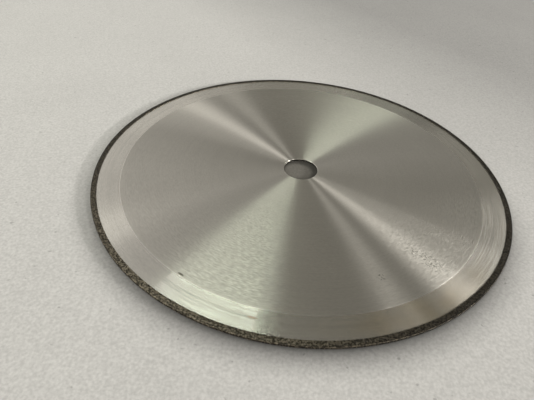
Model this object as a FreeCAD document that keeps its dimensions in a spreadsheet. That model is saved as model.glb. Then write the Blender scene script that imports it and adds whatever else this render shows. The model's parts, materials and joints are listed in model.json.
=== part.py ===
"""Plated-grit saw blade: a ground steel core with a plain bore, and a continuous rim of cubic
boron nitride grit held in nickel, which wraps both faces and the edge of the core.

Lengths are in millimetres. The blade lies flat. +Z is its axis, and the origin is the centre
of the bore, in the blade's mid-plane.
"""

import FreeCAD, Part
import Sketcher
import os

SIZES = {
    "blade_diameter": 300.0,      # over the grit
    "bore_diameter": 25.4,        # reamed hole for the arbor
    "hub_thickness": 1.6,         # core, between the two hub faces that the flanges clamp
    "bore_chamfer": 0.2,          # broken edge at each mouth of the bore
    "relief_width": 15.5,         # ground band between the hub face and the grit
    "relief_depth": 0.1,          # how far that band lies below the hub face, on each side
    "relief_ramp": 0.6,           # radial run of the slope down into the band
    "core_edge_chamfer": 0.2,     # broken outer edge of the core, under the grit
    "grit_width": 4.0,            # grit on each face, measured in from the blade's edge
    "grit_face_height": 0.3,      # grit and nickel over the relieved face
    "grit_edge_height": 0.3,      # grit and nickel over the core's edge
    "grit_lip_chamfer": 0.15,     # slope where the grit ends on the face
}

# Radii from the axis, and heights over the mid-plane, that both pieces take from the sheet
BLADE_RADIUS = "sizes.blade_diameter / 2"
BORE_RADIUS = "sizes.bore_diameter / 2"
CORE_RADIUS = f"{BLADE_RADIUS} - sizes.grit_edge_height"
GRIT_RADIUS = f"{BLADE_RADIUS} - sizes.grit_width"
HUB_RADIUS = f"{GRIT_RADIUS} - sizes.relief_width"
HALF_HUB = "sizes.hub_thickness / 2"
HALF_RELIEF = f"{HALF_HUB} - sizes.relief_depth"
HALF_RIM = f"{HALF_RELIEF} + sizes.grit_face_height"

# The grinder starts its cut off the work: outside the core's edge and above the hub face
RUN_OUT_RADIUS = f"{CORE_RADIUS} + sizes.relief_ramp"
RUN_OUT_HEIGHT = f"{HALF_HUB} + sizes.relief_depth"

# The seat's section is closed inside the ring's own bore, where there is nothing to cut
SEAT_MOUTH_RADIUS = f"{GRIT_RADIUS} - sizes.grit_width"

# The coat goes round the core's broken edge at about its own height
COAT_CORNER_RADIUS = "sizes.core_edge_chamfer + min(sizes.grit_face_height; sizes.grit_edge_height)"

SAME_PLACE = 1e-6


def make_sheet(doc):
    """The driving sizes, one row each: alias and value."""
    sheet = doc.addObject("Spreadsheet::Sheet", "sizes")
    for row, (alias, value) in enumerate(SIZES.items(), start=1):
        sheet.set(f"A{row}", alias)
        sheet.set(f"B{row}", str(value))
        sheet.setAlias(f"B{row}", alias)
    doc.recompute()


def new_body(doc, label):
    body = doc.addObject("PartDesign::Body", label)
    body.Label = label
    body.Placement = FreeCAD.Placement()
    return body


def origin_plane(body, role):
    return next(item for item in body.Origin.OriginFeatures if item.Role == role)


def new_sketch(body, name, plane):
    sketch = body.newObject("Sketcher::SketchObject", name)
    sketch.AttachmentSupport = [(origin_plane(body, plane), "")]
    sketch.MapMode = "FlatFace"
    return sketch


def dimension(sketch, kind, place, name, formula):
    """Adds a sketch dimension of that kind, named and tied to the sheet by its formula."""
    size = sketch.evalExpression(formula)
    index = sketch.addConstraint(Sketcher.Constraint(kind, *place, size))
    sketch.renameConstraint(index, name)
    sketch.setExpression(f"Constraints.{name}", formula)


def circle_sketch(body, name, radius):
    """A circle on the blade's axis, in its mid-plane."""
    sketch = new_sketch(body, name, "XY_Plane")
    centre = FreeCAD.Vector(0, 0, 0)
    axis = FreeCAD.Vector(0, 0, 1)
    circle = sketch.addGeometry(Part.Circle(centre, axis, sketch.evalExpression(radius)))
    sketch.addConstraint(Sketcher.Constraint("Coincident", circle, 3, -1, 1))
    dimension(sketch, "Radius", [circle], "radius", radius)
    return sketch


def draw_section(sketch, corners):
    """Joins corners, each a radius and a height as formulas, with a closed run of lines.

    The sketch lies in a plane through the axis: across is the radius, up is the height.
    """
    points = [FreeCAD.Vector(sketch.evalExpression(radius), sketch.evalExpression(height), 0)
              for radius, height in corners]
    for start, end in zip(points, points[1:] + points[:1]):
        sketch.addGeometry(Part.LineSegment(start, end))
    for line in range(len(points)):
        after = (line + 1) % len(points)
        sketch.addConstraint(Sketcher.Constraint("Coincident", line, 2, after, 1))


def ring_section(body, name, inner, outer, half_height):
    """The rectangular half section of a ring that is the same above and below the mid-plane."""
    sketch = new_sketch(body, name, "XZ_Plane")
    below = f"-({half_height})"
    draw_section(sketch, [(inner, below), (outer, below), (outer, half_height), (inner, half_height)])
    floor, wall, lid = range(3)
    for line in (floor, lid):
        sketch.addConstraint(Sketcher.Constraint("Horizontal", line))
    sketch.addConstraint(Sketcher.Constraint("Vertical", wall))
    sketch.addConstraint(Sketcher.Constraint("Symmetric", floor, 1, lid, 2, -1))
    dimension(sketch, "DistanceX", [-1, 1, floor, 1], "inner_radius", inner)
    dimension(sketch, "DistanceX", [-1, 1, floor, 2], "outer_radius", outer)
    dimension(sketch, "DistanceY", [-1, 1, lid, 1], "half_height", half_height)
    return sketch


def relief_section(body):
    """Half section of what is ground off one face: a slope at the hub, then an even depth."""
    sketch = new_sketch(body, "relief_section", "XZ_Plane")
    slope_foot = f"{HUB_RADIUS} + sizes.relief_ramp"
    draw_section(sketch, [
        (HUB_RADIUS, HALF_HUB),
        (slope_foot, HALF_RELIEF),
        (RUN_OUT_RADIUS, HALF_RELIEF),
        (RUN_OUT_RADIUS, RUN_OUT_HEIGHT),
        (HUB_RADIUS, RUN_OUT_HEIGHT),
    ])
    slope, floor, outside, lid, shoulder = range(5)
    for line in (floor, lid):
        sketch.addConstraint(Sketcher.Constraint("Horizontal", line))
    for line in (outside, shoulder):
        sketch.addConstraint(Sketcher.Constraint("Vertical", line))
    dimension(sketch, "DistanceX", [-1, 1, slope, 1], "hub_radius", HUB_RADIUS)
    dimension(sketch, "DistanceY", [-1, 1, slope, 1], "half_hub", HALF_HUB)
    dimension(sketch, "DistanceX", [-1, 1, slope, 2], "slope_foot", slope_foot)
    dimension(sketch, "DistanceY", [-1, 1, slope, 2], "half_relief", HALF_RELIEF)
    dimension(sketch, "DistanceX", [-1, 1, outside, 1], "run_out_radius", RUN_OUT_RADIUS)
    dimension(sketch, "DistanceY", [-1, 1, lid, 1], "run_out_height", RUN_OUT_HEIGHT)
    return sketch


def turned(body, kind, name, sketch):
    """A full turn of the sketch about the blade's axis, as a Revolution or a Groove."""
    feature = body.newObject(kind, name)
    feature.Profile = sketch
    feature.ReferenceAxis = (sketch, ["V_Axis"])
    feature.Angle = 360
    body.Document.recompute()
    return feature


def round_edges(feature, radius, heights):
    """Names of the feature's circular edges on the axis, of that radius at plus or minus a height."""
    radius = feature.evalExpression(radius)
    height = feature.evalExpression(heights)
    names = []
    for number, edge in enumerate(feature.Shape.Edges, start=1):
        curve = edge.Curve
        if not isinstance(curve, Part.Circle) or abs(curve.Radius - radius) > SAME_PLACE:
            continue
        if abs(abs(curve.Center.z) - height) < SAME_PLACE:
            names.append(f"Edge{number}")
    if len(names) != 2:
        raise ValueError(f"{feature.Name} has {len(names)} edges at radius {radius}, not 2")
    return names


def dress_edges(body, kind, name, size_name, size, radius, heights):
    """Rounds or chamfers the pair of edges at that radius, one on each side of the mid-plane."""
    base = body.Tip
    feature = body.newObject(kind, name)
    feature.Base = (base, round_edges(base, radius, heights))
    feature.setExpression(size_name, size)
    body.Document.recompute()


def check_cut(before, feature):
    """Stops the build where a cut took nothing away."""
    if feature.Shape.Volume > before - SAME_PLACE:
        raise ValueError(f"{feature.Name} removed no material")


def make_core(doc):
    """The core: a plate disc, bored, relief-ground on both faces, with its edges dressed."""
    body = new_body(doc, "steel_core")
    plate = body.newObject("PartDesign::Pad", "plate_disc")
    plate.Profile = circle_sketch(body, "disc_outline", CORE_RADIUS)
    plate.SideType = "Symmetric"
    plate.setExpression("Length", "sizes.hub_thickness")
    doc.recompute()

    bored = body.newObject("PartDesign::Pocket", "arbor_bore")
    bored.Profile = circle_sketch(body, "bore_outline", BORE_RADIUS)
    bored.SideType = "Symmetric"
    bored.Type = "ThroughAll"
    doc.recompute()
    check_cut(plate.Shape.Volume, bored)

    relief = turned(body, "PartDesign::Groove", "upper_relief", relief_section(body))
    check_cut(bored.Shape.Volume, relief)
    both = body.newObject("PartDesign::Mirrored", "both_reliefs")
    both.Originals = [relief]
    both.MirrorPlane = (origin_plane(body, "XY_Plane"), [""])
    body.Tip = both
    doc.recompute()
    check_cut(relief.Shape.Volume, both)

    dress_edges(body, "PartDesign::Chamfer", "bore_mouths", "Size", "sizes.bore_chamfer",
                BORE_RADIUS, HALF_HUB)
    dress_edges(body, "PartDesign::Chamfer", "broken_edge", "Size", "sizes.core_edge_chamfer",
                CORE_RADIUS, HALF_RELIEF)
    return body


def make_rim(doc):
    """The rim: a rounded ring of grit and nickel, hollowed to the form of the core's edge."""
    body = new_body(doc, "abrasive_rim")
    ring = ring_section(body, "coat_section", GRIT_RADIUS, BLADE_RADIUS, HALF_RIM)
    turned(body, "PartDesign::Revolution", "coat_ring", ring)
    dress_edges(body, "PartDesign::Fillet", "cutting_corners", "Radius", COAT_CORNER_RADIUS,
                BLADE_RADIUS, HALF_RIM)
    dress_edges(body, "PartDesign::Chamfer", "coat_lips", "Size", "sizes.grit_lip_chamfer",
                GRIT_RADIUS, HALF_RIM)

    before = body.Shape.Volume
    seat = ring_section(body, "seat_section", SEAT_MOUTH_RADIUS, CORE_RADIUS, HALF_RELIEF)
    hollowed = turned(body, "PartDesign::Groove", "core_seat", seat)
    check_cut(before, hollowed)
    dress_edges(body, "PartDesign::Chamfer", "seat_corners", "Size", "sizes.core_edge_chamfer",
                CORE_RADIUS, HALF_RELIEF)
    return body


def check_model(doc, pieces):
    """Stops the build at any failed feature, and at any piece that isn't one sound solid."""
    for item in doc.Objects:
        if "Invalid" in item.State or "Error" in item.State:
            raise ValueError(f"{item.Name} failed: {item.State}")
    for piece in pieces:
        shape = piece.Shape
        if shape.isNull() or not shape.isValid() or len(shape.Solids) != 1:
            raise ValueError(f"{piece.Label} isn't one valid solid")


def write_parts(pieces):
    os.makedirs("parts", exist_ok=True)
    for piece in pieces:
        piece.Shape.exportStep(f"parts/{piece.Label}.step")
        shape = piece.Shape
        box = shape.optimalBoundingBox()
        print(f"{piece.Label}: {shape.Volume:.1f} mm3, {box.XLength:.2f} by {box.ZLength:.2f} mm")


doc = FreeCAD.newDocument("saw_blade")
make_sheet(doc)
pieces = [make_core(doc), make_rim(doc)]
doc.recompute()
check_model(doc, pieces)
write_parts(pieces)
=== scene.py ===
"""Looks of a plated-grit saw blade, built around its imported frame. Lengths are in metres."""

import json
import math

import bpy
import numpy as np
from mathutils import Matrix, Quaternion, Vector


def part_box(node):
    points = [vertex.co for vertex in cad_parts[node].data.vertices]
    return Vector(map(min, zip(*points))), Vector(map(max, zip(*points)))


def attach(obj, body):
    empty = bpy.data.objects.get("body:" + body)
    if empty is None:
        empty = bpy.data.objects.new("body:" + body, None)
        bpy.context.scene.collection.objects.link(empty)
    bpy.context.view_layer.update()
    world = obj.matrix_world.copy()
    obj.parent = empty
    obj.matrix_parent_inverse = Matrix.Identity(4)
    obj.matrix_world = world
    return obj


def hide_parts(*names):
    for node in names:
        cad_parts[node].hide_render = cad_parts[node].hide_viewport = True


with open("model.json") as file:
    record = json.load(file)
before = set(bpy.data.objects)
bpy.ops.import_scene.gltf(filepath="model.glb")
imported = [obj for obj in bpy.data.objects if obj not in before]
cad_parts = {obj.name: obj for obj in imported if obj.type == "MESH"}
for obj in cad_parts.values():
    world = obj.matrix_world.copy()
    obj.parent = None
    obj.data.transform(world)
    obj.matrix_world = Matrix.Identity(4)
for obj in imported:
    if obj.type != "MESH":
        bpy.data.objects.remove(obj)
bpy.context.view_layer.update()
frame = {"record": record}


# The steel core. One plate disc, ground round and round on both faces, with a lower and finer
# ground band beside the rim. It is turned here from the frame's own section, with far more
# facets round the bore than the frame has, and its edges are broken as the frame's are.
MM = 0.001
core_low, core_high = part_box("steel_core")
rim_low, rim_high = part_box("abrasive_rim")
bore_mount = next(mount for mount in frame["record"]["mounts"] if mount["name"] == "bore")

BLADE_RADIUS = rim_high.x
HALF_RIM = rim_high.z
HALF_HUB = core_high.z
BORE_RADIUS = bore_mount["dims"]["r_mm"] * MM
BORE_CHAMFER = HALF_HUB - bore_mount["dims"]["length_mm"] * MM / 2
CORE_RADIUS = core_high.x
GRIT_WIDTH = 4.0 * MM
RELIEF_WIDTH = 15.5 * MM
RELIEF_DEPTH = 0.1 * MM
RELIEF_RAMP = 0.6 * MM
CORE_CHAMFER = 0.2 * MM
GRIT_RADIUS = BLADE_RADIUS - GRIT_WIDTH
HUB_RADIUS = GRIT_RADIUS - RELIEF_WIDTH
HALF_RELIEF = HALF_HUB - RELIEF_DEPTH
FACETS = 720
SHARP_EDGE = math.radians(8)


def turned_mesh(name, section, materials, face_kinds):
    """A closed section of (radius, height) points, turned about +Z.

    The section runs clockwise as seen with the radius across and the height up, which puts the
    faces' fronts outside. face_kinds gives the material of the strip after each point.
    """
    count = len(section)
    turn = np.linspace(0, math.tau, FACETS, endpoint=False)
    radius, height = np.array(section).T
    points = np.stack([
        np.outer(np.cos(turn), radius),
        np.outer(np.sin(turn), radius),
        np.tile(height, (FACETS, 1)),
    ], axis=-1).reshape(-1, 3)
    faces, kinds = [], []
    for facet in range(FACETS):
        after = (facet + 1) % FACETS
        for strip in range(count):
            beside = (strip + 1) % count
            faces.append((facet * count + strip, facet * count + beside,
                          after * count + beside, after * count + strip))
            kinds.append(face_kinds[strip])
    mesh = bpy.data.meshes.new(name)
    mesh.from_pydata(points.tolist(), [], faces)
    for material in materials:
        mesh.materials.append(material)
    mesh.polygons.foreach_set("material_index", kinds)
    mesh.polygons.foreach_set("use_smooth", [True] * len(faces))
    mesh.set_sharp_from_angle(angle=SHARP_EDGE)
    mesh.validate()
    piece = bpy.data.objects.new(name, mesh)
    bpy.context.scene.collection.objects.link(piece)
    return piece


def new_material(name):
    """A material with an empty node tree."""
    material = bpy.data.materials.new(name)
    material.use_nodes = True
    material.node_tree.nodes.clear()
    return material, material.node_tree


def add_node(tree, kind, inputs=(), **settings):
    """Adds a node with its settings, and sets or links its inputs by name or number."""
    node = tree.nodes.new(kind)
    for name, value in settings.items():
        setattr(node, name, value)
    for name, value in dict(inputs).items():
        socket = node.inputs[name]
        if isinstance(value, bpy.types.NodeSocket):
            tree.links.new(value, socket)
        else:
            socket.default_value = value
    return node


def math_node(tree, operation, *values):
    """The result of one math node."""
    return add_node(tree, "ShaderNodeMath", dict(enumerate(values)), operation=operation).outputs[0]


def vector_node(tree, operation, first, second):
    """The result of one vector math node. A SCALE takes a number as its second value."""
    second_name = "Scale" if operation == "SCALE" else 1
    node = add_node(tree, "ShaderNodeVectorMath", {0: first, second_name: second}, operation=operation)
    return node.outputs["Value" if operation in ("LENGTH", "DOT_PRODUCT") else "Vector"]


def map_range(tree, value, low, high, new_low, new_high, steps="LINEAR"):
    """A value's stretch from low to high, mapped to a new one and held at its ends."""
    node = add_node(tree, "ShaderNodeMapRange", {0: value, 1: low, 2: high, 3: new_low, 4: new_high},
                    interpolation_type=steps)
    return node.outputs[0]


def noise(tree, place, scale, detail=2.0):
    """Smooth noise round 0.5."""
    inputs = {"Vector": place, "Scale": scale, "Detail": detail}
    return add_node(tree, "ShaderNodeTexNoise", inputs).outputs[0]


class DiscPlace:
    """Sockets for a point's place on the disc: its distance from +Z, outward direction and turn."""

    def __init__(self, tree):
        self.tree = tree
        self.point = add_node(tree, "ShaderNodeTexCoord").outputs["Object"]
        flat = vector_node(tree, "MULTIPLY", self.point, (1, 1, 0))
        self.radius = vector_node(tree, "LENGTH", flat, (0, 0, 0))
        self.outwards = vector_node(tree, "NORMALIZE", flat, (0, 0, 0))
        parts = add_node(tree, "ShaderNodeSeparateXYZ", {0: flat})
        self.turn = math_node(tree, "ARCTAN2", parts.outputs["Y"], parts.outputs["X"])

    def circling_noise(self, pitch, length):
        """Noise round 0.5 with cells of about a pitch across the grooves and a length along them."""
        across = math_node(self.tree, "MULTIPLY", self.radius, 1 / pitch)
        lift = add_node(self.tree, "ShaderNodeCombineXYZ", {"Z": across}).outputs[0]
        around = vector_node(self.tree, "SCALE", self.outwards, HUB_RADIUS / length)
        return noise(self.tree, vector_node(self.tree, "ADD", around, lift), 1.0)

    def mark(self, radius, turn, half_length, half_width, softness):
        """1 inside a curved mark at a radius and a turn in degrees, and 0 outside it.

        softness is the share of the mark over which it fades out.
        """
        across = math_node(self.tree, "MULTIPLY_ADD", self.radius, 1 / half_width, -radius / half_width)
        turned = math_node(self.tree, "SUBTRACT", self.turn, math.radians(turn))
        turned = math_node(self.tree, "WRAP", turned, math.pi, -math.pi)
        along = math_node(self.tree, "MULTIPLY", turned, radius / half_length)
        spot = add_node(self.tree, "ShaderNodeCombineXYZ", {"X": along, "Y": across}).outputs[0]
        away = vector_node(self.tree, "LENGTH", spot, (0, 0, 0))
        return map_range(self.tree, away, 1 - softness, 1, 1, 0, "SMOOTHSTEP")


def blend(tree, amount, base, colour):
    """The base colour, multiplied by another as far as the amount says."""
    node = add_node(tree, "ShaderNodeMix", {"Factor": amount}, data_type="RGBA", blend_type="MULTIPLY")
    for name, value in (("A", base), ("B", colour)):
        socket = next(s for s in node.inputs if s.name == name and s.type == "RGBA")
        if isinstance(value, bpy.types.NodeSocket):
            tree.links.new(value, socket)
        else:
            socket.default_value = (*value, 1)
    return next(s for s in node.outputs if s.type == "RGBA")


def ground_steel(name, colour, roughness, lean, grain, ripple, finish):
    """Steel ground in circles about +Z: grooves too fine to see stretch each highlight outwards.

    lean is the slope, as a number, by which the grooves tip the highlights outwards. grain is the
    strength of the mottling. ripple is what the wheel left besides: its slope, its pitch across
    the grooves and its length along them. It is calmer on the left. finish(tree, disc, base) adds
    what is special to one face, and returns the colour with it and the slope of its pits.
    """
    material, tree = new_material(name)
    disc = DiscPlace(tree)
    flecks = disc.circling_noise(0.8 * MM, 2.5 * MM)
    flecks = map_range(tree, flecks, 0.25, 0.75, 1 - grain, 1 + grain)
    lines = disc.circling_noise(1.0 * MM, 90 * MM)
    lines = map_range(tree, lines, 0.25, 0.75, 1 - 0.5 * grain, 1 + 0.5 * grain)
    cloud = noise(tree, disc.point, 25.0, 3.0)
    cloud = map_range(tree, cloud, 0.3, 0.7, 1 - 0.4 * grain, 1 + 0.4 * grain)
    tone = math_node(tree, "MULTIPLY", math_node(tree, "MULTIPLY", flecks, lines), cloud)
    base, pitting = finish(tree, disc, vector_node(tree, "SCALE", colour, tone))

    leftwards = vector_node(tree, "DOT_PRODUCT", disc.outwards, (-1, -0.1, 0))
    ripple_slope, ripple_pitch, ripple_length = ripple
    slope = map_range(tree, leftwards, 0.3, 0.9, ripple_slope, 0.35 * ripple_slope)
    waves = math_node(tree, "SUBTRACT", disc.circling_noise(ripple_pitch, ripple_length), 0.5)
    outward_slope = math_node(tree, "MULTIPLY_ADD", waves, slope, lean)
    leaning = vector_node(tree, "SCALE", disc.outwards, outward_slope)
    pits = add_node(tree, "ShaderNodeTexNoise", {"Vector": disc.point, "Scale": 1100.0, "Detail": 1.0})
    pits = vector_node(tree, "SUBTRACT", pits.outputs["Color"], (0.5, 0.5, 0.5))
    tipped = vector_node(tree, "ADD", leaning, vector_node(tree, "SCALE", pits, pitting))
    normal = add_node(tree, "ShaderNodeNewGeometry").outputs["Normal"]
    facing = vector_node(tree, "NORMALIZE", vector_node(tree, "ADD", normal, tipped), (0, 0, 0))
    grooves_run = vector_node(tree, "CROSS_PRODUCT", (0, 0, 1), disc.outwards)
    surface = add_node(tree, "ShaderNodeBsdfPrincipled", {
        "Base Color": base, "Metallic": 1.0, "Roughness": roughness, "Anisotropic": 1.0,
        "Tangent": vector_node(tree, "CROSS_PRODUCT", facing, grooves_run), "Normal": facing})
    add_node(tree, "ShaderNodeOutputMaterial", {"Surface": surface.outputs[0]})
    return material


def hub_finish(tree, disc, base):
    """A patch of fine dark pits low on the right, a few more beside it, and one short dark scuff."""
    worn = disc.mark(112 * MM, -42.5, 8 * MM, 22 * MM, 0.6)
    spot = disc.mark(111 * MM, -60.6, 3.5 * MM, 4.5 * MM, 0.6)
    patchy = map_range(tree, noise(tree, disc.point, 90.0), 0.4, 0.6, 0.4, 1.0)
    patch = math_node(tree, "MULTIPLY", math_node(tree, "MAXIMUM", worn, spot), patchy)
    dots = map_range(tree, noise(tree, disc.point, 900.0), 0.55, 0.65, 0, 1)
    base = blend(tree, math_node(tree, "MULTIPLY", patch, dots), base, (0.36, 0.36, 0.34))
    scuff = disc.mark(129.6 * MM, -117.3, 2.8 * MM, 0.8 * MM, 0.5)
    base = blend(tree, scuff, base, (0.30, 0.29, 0.26))
    return base, math_node(tree, "MULTIPLY_ADD", patch, 0.22, 0.03)


# Each stretch of the band, painted lighter as a painted highlight or darker as painted shade: its turn
# in degrees, half length, softness of its ends, and tone
BAND_PAINTED_LIGHT = (
    (-93.8, 4.5 * MM, 0.4, 0.74),
    (-78.0, 34 * MM, 0.25, 1.24),
    (-55.5, 16 * MM, 0.6, 1.40),
    (54.0, 58 * MM, 0.6, 0.70),
    (-172.0, 62 * MM, 0.7, 0.84),
)


def relief_tones_and_painted_light(tree, disc, base):
    """The band's colour is painted lighter and darker in stretches, as painted highlights and painted
    shade.

    The stretch in front is a painted highlight with sharp ends. It shows grinding lines, and is
    painted brightest at its ends and along the hub. There is also a faint ring along the band, a
    straw tint on the right, where the steel got warm, and one brown streak.
    """
    middle = (HUB_RADIUS + GRIT_RADIUS) / 2
    whole_band = 60 * MM
    for turn, half_length, softness, tone in BAND_PAINTED_LIGHT:
        stretch = disc.mark(middle, turn, half_length, whole_band, softness)
        base = blend(tree, stretch, base, (tone, tone, tone))

    # The stretch in front is a painted highlight, painted brightest at its ends and along the hub.
    highlight_stretch = disc.mark(middle, -107.3, 30 * MM, whole_band, 0.05)
    lines = map_range(tree, disc.circling_noise(0.7 * MM, 60 * MM), 0.40, 0.60, 1, 0)
    left_end = disc.mark(middle, -119.5, 22 * MM, whole_band, 0.9)
    right_end = disc.mark(middle, -96.0, 9 * MM, whole_band, 0.95)
    off_hub = map_range(tree, disc.radius, 133.5 * MM, 137.5 * MM, 0.2, 1)
    for where, tone in ((lines, 0.80), (left_end, 1.43), (right_end, 1.12), (off_hub, 0.86)):
        where = math_node(tree, "MULTIPLY", highlight_stretch, where)
        base = blend(tree, where, base, (tone, tone, 1.01 * tone))

    ring = math_node(tree, "MULTIPLY", map_range(tree, disc.radius, 136.6 * MM, 137.4 * MM, 0, 1),
                     map_range(tree, disc.radius, 138.6 * MM, 139.8 * MM, 1, 0))
    broken = map_range(tree, disc.circling_noise(0.9 * MM, 120 * MM), 0.3, 0.6, 0.3, 1.0)
    strength = math_node(tree, "MULTIPLY", broken, math_node(tree, "MULTIPLY_ADD", highlight_stretch, 0.7, 0.3))
    base = blend(tree, math_node(tree, "MULTIPLY", ring, strength), base, (0.86, 0.86, 0.86))
    straw = disc.mark(139 * MM, -57, 78 * MM, 16 * MM, 0.8)
    cloudy = map_range(tree, noise(tree, disc.point, 45.0), 0.35, 0.65, 0.45, 1.0)
    base = blend(tree, math_node(tree, "MULTIPLY", straw, cloudy), base, (1.02, 0.94, 0.80))
    streak = disc.mark(137.6 * MM, -96.3, 4.2 * MM, 0.8 * MM, 0.7)
    return blend(tree, streak, base, (0.78, 0.62, 0.50)), 0.005


hub_steel = ground_steel(
    "hub_steel", (0.708, 0.678, 0.620), roughness=0.3137, lean=-0.038, grain=0.05,
    ripple=(0.46, 0.85 * MM, 4.0 * MM), finish=hub_finish)
relief_steel = ground_steel(
    "relief_steel", (0.69, 0.662, 0.605), roughness=0.249, lean=0.108, grain=0.06,
    ripple=(0.24, 0.8 * MM, 30 * MM), finish=relief_tones_and_painted_light)

# The bore wall's colour is painted near black: a painted shade for the dark that the wall reflects.
bore_steel, tree = new_material("bore_steel")
surface = add_node(tree, "ShaderNodeBsdfPrincipled", {
    "Base Color": (0.08, 0.075, 0.065, 1), "Metallic": 1.0, "Roughness": 0.30})
add_node(tree, "ShaderNodeOutputMaterial", {"Surface": surface.outputs[0]})

HUB_FACE, RELIEF_FACE, BORE_WALL = range(3)
mouth_radius = BORE_RADIUS + BORE_CHAMFER
wall_half = HALF_HUB - BORE_CHAMFER
slope_foot = HUB_RADIUS + RELIEF_RAMP
upper_section = [
    (BORE_RADIUS, wall_half),
    (mouth_radius, HALF_HUB),
    (HUB_RADIUS, HALF_HUB),
    (slope_foot, HALF_RELIEF),
    (CORE_RADIUS - CORE_CHAMFER, HALF_RELIEF),
    (CORE_RADIUS, HALF_RELIEF - CORE_CHAMFER),
]
upper_kinds = [HUB_FACE, HUB_FACE, HUB_FACE, RELIEF_FACE, RELIEF_FACE]
lower_section = [(radius, -height) for radius, height in reversed(upper_section)]
core = turned_mesh(
    "ground_core", upper_section + lower_section, [hub_steel, relief_steel, bore_steel],
    upper_kinds + [RELIEF_FACE] + upper_kinds[::-1] + [BORE_WALL])
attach(core, "root")
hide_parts("steel_core")


# The nickel bond. The plating that holds the grit wraps both faces and the edge of the core as
# one thin coat. It lies a little below the frame's rim, so that the grains' tips reach it.
BOND_SINK = 0.14 * MM
BOND_CORNER = 0.36 * MM
CORNER_STEPS = 12


def rim_painted_light(tree, place):
    """A painted light factor for the rim's tone: lighter in front, painted shade on the right, and most
    painted shade at its outer edge there.
    """
    front_left = vector_node(tree, "DOT_PRODUCT", place, (-0.40, -0.92, 0))
    tone_with_painted_light = map_range(tree, front_left, 0.08, 0.148, 0.72, 1.20)
    radius = vector_node(tree, "LENGTH", vector_node(tree, "MULTIPLY", place, (1, 1, 0)), (0, 0, 0))
    outside = map_range(tree, radius, 148.8 * MM, 149.6 * MM, 0, 1)
    painted_edge_shade = math_node(tree, "MULTIPLY", outside, map_range(tree, front_left, 0.05, 0.13, 0.6, 0))
    return math_node(tree, "MULTIPLY", tone_with_painted_light, math_node(tree, "SUBTRACT", 1, painted_edge_shade))


bond_metal, tree = new_material("nickel_bond")
place = add_node(tree, "ShaderNodeTexCoord").outputs["Object"]
pits = noise(tree, place, 3500.0)
clumps = map_range(tree, noise(tree, place, 900.0), 0.40, 0.60, 0.35, 1.65)
# The bond's tone carries the rim's painted light: lighter in front, painted shade on the right and at
# its outer edge there.
tone_with_painted_light = math_node(tree, "MULTIPLY", clumps, rim_painted_light(tree, place))
base = vector_node(tree, "SCALE", (0.135, 0.116, 0.088), tone_with_painted_light)
bump = add_node(tree, "ShaderNodeBump", {"Height": pits, "Distance": 0.08 * MM})
surface = add_node(tree, "ShaderNodeBsdfPrincipled", {
    "Base Color": base, "Metallic": 1.0, "Roughness": 0.42, "Normal": bump.outputs[0]})
add_node(tree, "ShaderNodeOutputMaterial", {"Surface": surface.outputs[0]})

bond_top = HALF_RIM - BOND_SINK
bond_edge = BLADE_RADIUS - BOND_SINK
corner_turns = [math.radians(90 * step / CORNER_STEPS) for step in range(CORNER_STEPS + 1)]
upper_bond = [(GRIT_RADIUS, HALF_RELIEF), (GRIT_RADIUS + 0.08 * MM, bond_top)] + [
    (bond_edge - BOND_CORNER * (1 - math.sin(turn)), bond_top - BOND_CORNER * (1 - math.cos(turn)))
    for turn in corner_turns
]
seat = [(CORE_RADIUS, HALF_RELIEF - CORE_CHAMFER), (CORE_RADIUS - CORE_CHAMFER, HALF_RELIEF)]
lower_bond = [(radius, -height) for radius, height in reversed(upper_bond)]
lower_seat = [(radius, -height) for radius, height in reversed(seat)]
bond_section = upper_bond + lower_bond + lower_seat + seat
bond = turned_mesh("nickel_bond", bond_section, [bond_metal], [0] * len(bond_section))
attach(bond, "root")
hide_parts("abrasive_rim")


# The grit. Blocky crystals of cubic boron nitride, one layer deep, lie close together in the
# bond with their points out. They are scattered over each stretch of the bond's outer skin.
GRAIN_SIZE = 0.34 * MM
GRAIN_GAP = 0.30 * MM
SMALLEST, LARGEST = 0.75, 1.15  # shares of the grain size
MORE_THAN_FIT = 3.0e7  # grains on a square metre, past what the gap leaves room for

grain_stone, tree = new_material("boron_nitride")
place = add_node(tree, "ShaderNodeTexCoord").outputs["Object"]
tone = add_node(tree, "ShaderNodeAttribute", attribute_name="grain_tone").outputs["Fac"]
# The grains' tone carries the same painted light and painted shade as the bond.
tone = math_node(tree, "MULTIPLY", tone, rim_painted_light(tree, place))
ramp = add_node(tree, "ShaderNodeValToRGB", {"Fac": tone})
ramp.color_ramp.elements[0].color = (0.004, 0.003, 0.002, 1)
ramp.color_ramp.elements[1].color = (0.22, 0.19, 0.15, 1)
for position, colour in ((0.55, (0.008, 0.006, 0.004, 1)), (0.78, (0.036, 0.028, 0.019, 1))):
    ramp.color_ramp.elements.new(position).color = colour
surface = add_node(tree, "ShaderNodeBsdfPrincipled", {
    "Base Color": ramp.outputs[0], "Metallic": 0.0, "Roughness": 0.4, "IOR": 1.3})
add_node(tree, "ShaderNodeOutputMaterial", {"Surface": surface.outputs[0]})


def crystal_mesh():
    """An octahedron, the plainest closed crystal: eight faces."""
    mesh = bpy.data.meshes.new("crystal")
    tips = [(1, 0, 0), (-1, 0, 0), (0, 1, 0), (0, -1, 0), (0, 0, 1), (0, 0, -1)]
    faces = [(0, 2, 4), (2, 1, 4), (1, 3, 4), (3, 0, 4), (2, 0, 5), (1, 2, 5), (3, 1, 5), (0, 3, 5)]
    mesh.from_pydata([Vector(tip) * GRAIN_SIZE / 2 for tip in tips], [], faces)
    return mesh


crystal = bpy.data.objects.new("crystal", crystal_mesh())


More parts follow.
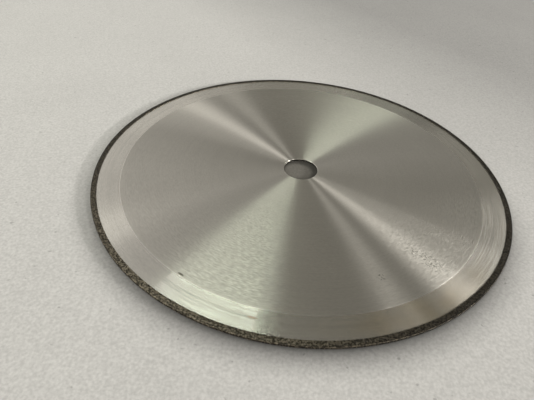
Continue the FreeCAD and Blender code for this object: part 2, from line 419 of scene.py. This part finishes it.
def grit_tree():
    """Geometry nodes: scatters crystals over a skin, each with its own size, turn and tone."""
    tree = bpy.data.node_groups.new("scatter_grit", "GeometryNodeTree")
    face = tree.interface
    face.new_socket("Skin", in_out="INPUT", socket_type="NodeSocketGeometry")
    face.new_socket("Crystal", in_out="INPUT", socket_type="NodeSocketObject")
    face.new_socket("Gap", in_out="INPUT", socket_type="NodeSocketFloat")
    face.new_socket("Seed", in_out="INPUT", socket_type="NodeSocketInt")
    face.new_socket("Stone", in_out="INPUT", socket_type="NodeSocketMaterial")
    face.new_socket("Grit", in_out="OUTPUT", socket_type="NodeSocketGeometry")
    given = add_node(tree, "NodeGroupInput")
    scatter = add_node(tree, "GeometryNodeDistributePointsOnFaces", {
        "Mesh": given.outputs["Skin"],
        "Distance Min": given.outputs["Gap"],
        "Density Max": MORE_THAN_FIT,
        "Seed": given.outputs["Seed"],
    }, distribute_method="POISSON")
    seed = {"Seed": given.outputs["Seed"]}
    turn = add_node(tree, "FunctionNodeRandomValue", seed, data_type="FLOAT_VECTOR")
    turn.inputs["Min"].default_value = (0, 0, 0)
    turn.inputs["Max"].default_value = (math.tau, math.tau, math.tau)
    size = add_node(tree, "FunctionNodeRandomValue", seed, data_type="FLOAT")
    size.inputs[2].default_value = SMALLEST
    size.inputs[3].default_value = LARGEST
    chance = add_node(tree, "FunctionNodeRandomValue", {"Seed": 7}, data_type="FLOAT").outputs[1]
    place = add_node(tree, "GeometryNodeInputPosition").outputs[0]
    clump = map_range(tree, noise(tree, place, 900.0), 0.40, 0.60, 0.0, 1.0)
    tone = math_node(tree, "MULTIPLY_ADD", chance, 0.45, math_node(tree, "MULTIPLY", clump, 0.55))
    source = add_node(tree, "GeometryNodeObjectInfo", {"Object": given.outputs["Crystal"]})
    placed = add_node(tree, "GeometryNodeInstanceOnPoints", {
        "Points": scatter.outputs["Points"],
        "Instance": source.outputs["Geometry"],
        "Rotation": turn.outputs["Value"],
        "Scale": size.outputs[1],
    })
    toned = add_node(tree, "GeometryNodeStoreNamedAttribute", {
        "Geometry": placed.outputs["Instances"],
        "Name": "grain_tone",
        "Value": tone,
    }, data_type="FLOAT", domain="INSTANCE")
    real = add_node(tree, "GeometryNodeRealizeInstances", {"Geometry": toned.outputs[0]})
    dressed = add_node(tree, "GeometryNodeSetMaterial", {
        "Geometry": real.outputs[0], "Material": given.outputs["Stone"]})
    add_node(tree, "NodeGroupOutput", {"Grit": dressed.outputs[0]})
    return tree


scatter_grit = grit_tree()


def skin_part(name, lowest, highest):
    """The strip of the bond's outer skin whose faces' centres lie between two heights."""
    skin = bond.data
    chosen = []
    for face in skin.polygons:
        radius = math.hypot(face.center.x, face.center.y)
        outside = abs(face.center.z) > HALF_RELIEF + 0.02 * MM or radius > CORE_RADIUS + 0.05 * MM
        if lowest <= face.center.z <= highest and radius > GRIT_RADIUS + BOND_SINK and outside:
            chosen.append(face)
    used = sorted({index for face in chosen for index in face.vertices})
    renumbered = {index: place for place, index in enumerate(used)}
    mesh = bpy.data.meshes.new(name)
    mesh.from_pydata([skin.vertices[index].co for index in used], [],
                     [[renumbered[index] for index in face.vertices] for face in chosen])
    piece = bpy.data.objects.new(name, mesh)
    bpy.context.scene.collection.objects.link(piece)
    return piece


def grit_piece(name, lowest, highest, seed):
    """A plain mesh of the crystals that stand on one strip of the bond's skin."""
    skin = skin_part(name + "_skin", lowest, highest)
    scattered = skin.modifiers.new("grit", "NODES")
    scattered.node_group = scatter_grit
    given = {"Crystal": crystal, "Gap": GRAIN_GAP, "Seed": seed, "Stone": grain_stone}
    for item in scatter_grit.interface.items_tree:
        if item.in_out == "INPUT" and item.name in given:
            scattered[item.identifier] = given[item.name]
    graph = bpy.context.evaluated_depsgraph_get()
    mesh = bpy.data.meshes.new_from_object(skin.evaluated_get(graph), depsgraph=graph)
    bpy.data.objects.remove(skin)
    mesh.name = name
    piece = bpy.data.objects.new(name, mesh)
    bpy.context.scene.collection.objects.link(piece)
    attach(piece, "root")


shoulder = bond_top - 0.15 * MM
grit_piece("upper_grit", shoulder, HALF_RIM, 1)
grit_piece("edge_grit", -shoulder, shoulder, 2)
grit_piece("lower_grit", -HALF_RIM, -shoulder, 3)


# The floor. A pale, faintly grained sheet that the blade lies on. It carries painted light and shade:
# lighter on the left, darker towards the far right corner, and painted shade where little light
# would reach it, under the bore and close in front of the rim. It is not part of the blade.
FLOOR_HALF = 3.0
floor_mesh = bpy.data.meshes.new("floor")
floor_mesh.from_pydata(
    [(x * FLOOR_HALF, y * FLOOR_HALF, -HALF_RIM) for x, y in ((-1, -1), (1, -1), (1, 1), (-1, 1))],
    [], [(0, 1, 2, 3)])
floor = bpy.data.objects.new("floor", floor_mesh)
bpy.context.scene.collection.objects.link(floor)
floor_paper, tree = new_material("floor_paper")
sheet = DiscPlace(tree)
parts = add_node(tree, "ShaderNodeSeparateXYZ", {0: sheet.point})
rightwards, backwards = parts.outputs["X"], parts.outputs["Y"]
grain = map_range(tree, noise(tree, sheet.point, 650.0, 3.0), 0.3, 0.7, 0.88, 1.12)
cloud = map_range(tree, noise(tree, sheet.point, 12.0, 2.0), 0.3, 0.7, 0.98, 1.02)
specks = map_range(tree, noise(tree, sheet.point, 330.0, 0.0), 0.14, 0.19, 0.72, 1.0)
# Painted light: lighter on the left and darker towards the far right corner, as the light falls off.
left_side = map_range(tree, rightwards, -0.30, 0.12, 1.12, 0.96)
far_corner = map_range(tree, math_node(tree, "ADD", rightwards, backwards), 0.15, 0.46, 1.0, 0.64)

# A painted shadow close in front of the rim, and a painted shade under the bore, warmer in tint.
beyond_hub = map_range(tree, sheet.radius, 60 * MM, 100 * MM, 0, 1)
closeness = math_node(tree, "POWER", map_range(tree, sheet.radius, 149 * MM, 170 * MM, 1, 0), 1.6)
closeness = math_node(tree, "MULTIPLY", closeness, beyond_hub)
in_front = vector_node(tree, "DOT_PRODUCT", sheet.outwards, (0.09, -1, 0))
in_front = math_node(tree, "MAXIMUM", in_front, 0)
rim_painted_shadow = math_node(tree, "MULTIPLY_ADD", math_node(tree, "MULTIPLY", closeness, in_front), -0.88, 1)
off_lit_spot = vector_node(tree, "SUBTRACT", sheet.point, (-2 * MM, -2 * MM, -HALF_RIM))
off_lit_spot = vector_node(tree, "LENGTH", off_lit_spot, (0, 0, 0))
bore_painted_shade = map_range(tree, off_lit_spot, 9 * MM, 12 * MM, 0.262, 0.12)
bore_painted_shade = math_node(tree, "MAXIMUM", bore_painted_shade, beyond_hub)
tone_and_painted_shade = grain
for tone in (cloud, specks, left_side, far_corner, rim_painted_shadow, bore_painted_shade):
    tone_and_painted_shade = math_node(tree, "MULTIPLY", tone_and_painted_shade, tone)
base = vector_node(tree, "SCALE", (0.504, 0.492, 0.490), tone_and_painted_shade)
base = blend(tree, math_node(tree, "SUBTRACT", 1, beyond_hub), base, (1.0, 0.96, 0.88))
surface = add_node(tree, "ShaderNodeBsdfPrincipled", {
    "Base Color": base, "Roughness": 0.9, "Specular IOR Level": 0.2})
add_node(tree, "ShaderNodeOutputMaterial", {"Surface": surface.outputs[0]})
floor.data.materials.append(floor_paper)


# The light. A long thin lamp overhead draws the broad wedges. Lamps far off to the right draw the
# narrow streaks and light the band there, one on the left and a panel behind fill in, and the
# room in front of the blade and to its left is the brightest.
GREEN_WHITE = (0.91, 1.0, 0.845)
WARM_WHITE = (1.0, 0.98, 0.93)


def area_light(name, place, aim, width, depth, radiance, colour=WARM_WHITE, turn=0.0):
    """A rectangular lamp of that radiance, facing the aim point and turned by some radians there."""
    data = bpy.data.lights.new(name, "AREA")
    data.shape = "RECTANGLE"
    data.size = width
    data.size_y = depth
    data.energy = radiance * math.pi * width * depth
    data.color = colour
    lamp = bpy.data.objects.new(name, data)
    bpy.context.scene.collection.objects.link(lamp)
    facing = (Vector(aim) - Vector(place)).to_track_quat("-Z", "Y")
    lamp.rotation_mode = "QUATERNION"
    lamp.rotation_quaternion = facing @ Quaternion((0, 0, 1), turn)
    lamp.location = place


def distant_light(name, distance, bearing, rise, width, depth, radiance):
    """A lamp that faces the blade, at a distance, a bearing from +X and a rise, both in degrees."""
    flat = distance * math.cos(math.radians(rise))
    place = (flat * math.cos(math.radians(bearing)), flat * math.sin(math.radians(bearing)),
             distance * math.sin(math.radians(rise)))
    area_light(name, place, (0, 0, 0), width, depth, radiance)


area_light("wedge_strip", (-0.70, -0.045, 1.2), (-0.70, -0.045, 0), 1.60, 0.06, 13.0, GREEN_WHITE, 0.64)
area_light("far_panel", (1.844, 1.347, 1.06), (1.844, 1.347, 0), 1.864, 0.81, 1.175, turn=1.224)
distant_light("streak_lamp", 2.25, -3.0, 10.0, 0.57, 0.10, 282.0)
distant_light("faint_lamp", 4.0, -31.8, 17.1, 0.80, 0.397, 58.0)
distant_light("side_lamp", 4.0, 10.4, 9.6, 2.107, 0.238, 44.0)
distant_light("left_lamp", 4.0, 139.8, 41.2, 0.705, 0.558, 0.70)

world = bpy.data.worlds.new("studio")
bpy.context.scene.world = world
world.use_nodes = True
tree = world.node_tree
tree.nodes.clear()
direction = add_node(tree, "ShaderNodeTexCoord").outputs["Generated"]
parts = add_node(tree, "ShaderNodeSeparateXYZ", {0: direction})
low = math_node(tree, "POWER", map_range(tree, parts.outputs["Z"], 0, 1, 1, 0), 3.0)
all_round = math_node(tree, "MULTIPLY_ADD", low, 0.728, 0.095)
front = map_range(tree, parts.outputs["Y"], -1, 0, 1.198, 0)
left = map_range(tree, parts.outputs["X"], -0.7, -0.1, 0.643, 0)
low_left = map_range(tree, parts.outputs["Z"], 0.44, 0.56, 1.45, 1.0)
warm_glow = vector_node(tree, "SCALE", (1.0, 0.968, 0.86), math_node(tree, "ADD", all_round, front))
left_glow = vector_node(tree, "SCALE", (1.0, 0.98, 0.95), math_node(tree, "MULTIPLY", left, low_left))
glow = add_node(tree, "ShaderNodeBackground", {"Color": vector_node(tree, "ADD", warm_glow, left_glow)})
add_node(tree, "ShaderNodeOutputWorld", {"Surface": glow.outputs[0]})


# The camera stands in front of the blade and above it, and is tipped a few degrees to one side.
CAMERA_PLACE = Vector((0.0, -0.2766, 0.2006))
CAMERA_AIM = Vector((-0.0201, -0.0410, HALF_HUB))
CAMERA_ROLL = math.radians(4.33)
CAMERA_LENS = 30.44
camera_data = bpy.data.cameras.new("camera")
camera_data.lens = CAMERA_LENS
camera_data.sensor_width = 36
camera_data.clip_start = 0.01
camera = bpy.data.objects.new("camera", camera_data)
bpy.context.scene.collection.objects.link(camera)
camera.location = CAMERA_PLACE
camera.rotation_mode = "QUATERNION"
camera.rotation_quaternion = ((CAMERA_AIM - CAMERA_PLACE).to_track_quat("-Z", "Y")
                              @ Quaternion((0, 0, 1), CAMERA_ROLL))
bpy.context.scene.camera = camera
bpy.context.scene.view_settings.view_transform = "Standard"
